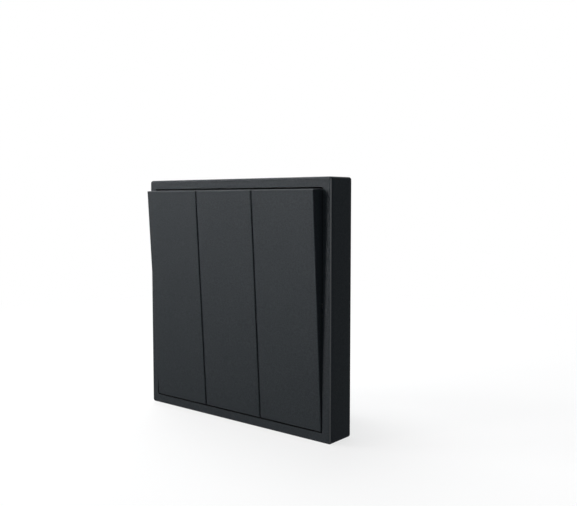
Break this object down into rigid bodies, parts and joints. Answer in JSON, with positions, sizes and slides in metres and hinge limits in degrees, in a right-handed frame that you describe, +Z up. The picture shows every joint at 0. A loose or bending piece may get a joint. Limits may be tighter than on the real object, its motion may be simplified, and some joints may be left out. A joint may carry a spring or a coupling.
{
  "type": "rocker light switch",
  "caption": "Square surface-plate light switch with tall rocker paddles, clip-on cover frame, carrier, steel support plate and rear contact housing.",
  "frame": {"origin": "middle of the two box screw slots, on the wall's surface", "axes": "+X to the right seen from the room, +Y into the wall, +Z up"},
  "size_m": [0.086, 0.0397, 0.086],
  "materials": {
    "cover_plastic": "fine matte charcoal, moulded polycarbonate",
    "carrier_plastic": "plain black moulding",
    "housing_plastic": "light grey flame-retardant moulding",
    "plunger_plastic": "natural nylon",
    "galvanised_steel": "zinc-plated sheet",
    "screw_steel": "bright zinc-plated",
    "spring_steel": "drawn spring wire",
    "copper": "rolled copper alloy strip",
    "contact_silver": "silver alloy"
  },
  "bodies": {
    "switch_base": {"cover_frame": "cover_plastic", "front_carrier": "carrier_plastic", "support_plate": "galvanised_steel", "rear_housing": "housing_plastic", "housing_screws": "screw_steel", "fixed_contacts_left": "contact_silver", "upper_strip_left": "copper", "lower_strip_left": "copper", "common_bracket_left": "copper", "first_way_terminal_left": "spring_steel", "second_way_terminal_left": "spring_steel", "common_terminal_left": "spring_steel", "fixed_contacts_middle": "contact_silver", "upper_strip_middle": "copper", "lower_strip_middle": "copper", "common_bracket_middle": "copper", "first_way_terminal_middle": "spring_steel", "second_way_terminal_middle": "spring_steel", "common_terminal_middle": "spring_steel", "fixed_contacts_right": "contact_silver", "upper_strip_right": "copper", "lower_strip_right": "copper", "common_bracket_right": "copper", "first_way_terminal_right": "spring_steel", "second_way_terminal_right": "spring_steel", "common_terminal_right": "spring_steel"},
    "rocker_left": {"rocker_left": "cover_plastic", "plunger_spring_left": "spring_steel"},
    "plunger_left": {"plunger_left": "plunger_plastic"},
    "contact_lever_left": {"contact_lever_left": "copper", "lever_contacts_left": "contact_silver"},
    "rocker_middle": {"rocker_middle": "cover_plastic", "plunger_spring_middle": "spring_steel"},
    "plunger_middle": {"plunger_middle": "plunger_plastic"},
    "contact_lever_middle": {"contact_lever_middle": "copper", "lever_contacts_middle": "contact_silver"},
    "rocker_right": {"rocker_right": "cover_plastic", "plunger_spring_right": "spring_steel"},
    "plunger_right": {"plunger_right": "plunger_plastic"},
    "contact_lever_right": {"contact_lever_right": "copper", "lever_contacts_right": "contact_silver"}
  },
  "joints": [
    {"name": "rocker_left_rock", "type": "hinge", "parent": "switch_base", "child": "rocker_left", "pos_m": [-0.02635, -0.0096, 0], "axis": [-1, 0, 0], "range_deg": [0, 6.68]},
    {"name": "plunger_left_slide", "type": "slide", "parent": "rocker_left", "child": "plunger_left", "axis": [0, -0.9983, -0.0583], "range_m": [0, 0.0012], "stiffness_N_per_m": 500, "deforming": ["plunger_spring_left"]},
    {"name": "contact_lever_left_tip", "type": "hinge", "parent": "switch_base", "child": "contact_lever_left", "pos_m": [-0.018, 0.0108, 0], "axis": [1, 0, 0], "range_deg": [0, 16.5]},
    {"name": "rocker_middle_rock", "type": "hinge", "parent": "switch_base", "child": "rocker_middle", "pos_m": [0, -0.0096, 0], "axis": [-1, 0, 0], "range_deg": [0, 6.68]},
    {"name": "plunger_middle_slide", "type": "slide", "parent": "rocker_middle", "child": "plunger_middle", "axis": [0, -0.9983, -0.0583], "range_m": [0, 0.0012], "stiffness_N_per_m": 500, "deforming": ["plunger_spring_middle"]},
    {"name": "contact_lever_middle_tip", "type": "hinge", "parent": "switch_base", "child": "contact_lever_middle", "pos_m": [0, 0.0108, 0], "axis": [1, 0, 0], "range_deg": [0, 16.5]},
    {"name": "rocker_right_rock", "type": "hinge", "parent": "switch_base", "child": "rocker_right", "pos_m": [0.02635, -0.0096, 0], "axis": [-1, 0, 0], "range_deg": [0, 6.68]},
    {"name": "plunger_right_slide", "type": "slide", "parent": "rocker_right", "child": "plunger_right", "axis": [0, -0.9983, -0.0583], "range_m": [0, 0.0012], "stiffness_N_per_m": 500, "deforming": ["plunger_spring_right"]},
    {"name": "contact_lever_right_tip", "type": "hinge", "parent": "switch_base", "child": "contact_lever_right", "pos_m": [0.018, 0.0108, 0], "axis": [1, 0, 0], "range_deg": [0, 16.5]}
  ],
  "couplings": [
    {"joint": "contact_lever_left_tip", "follows": "rocker_left_rock", "ratio": 2.47},
    {"joint": "contact_lever_middle_tip", "follows": "rocker_middle_rock", "ratio": 2.47},
    {"joint": "contact_lever_right_tip", "follows": "rocker_right_rock", "ratio": 2.47}
  ]
}
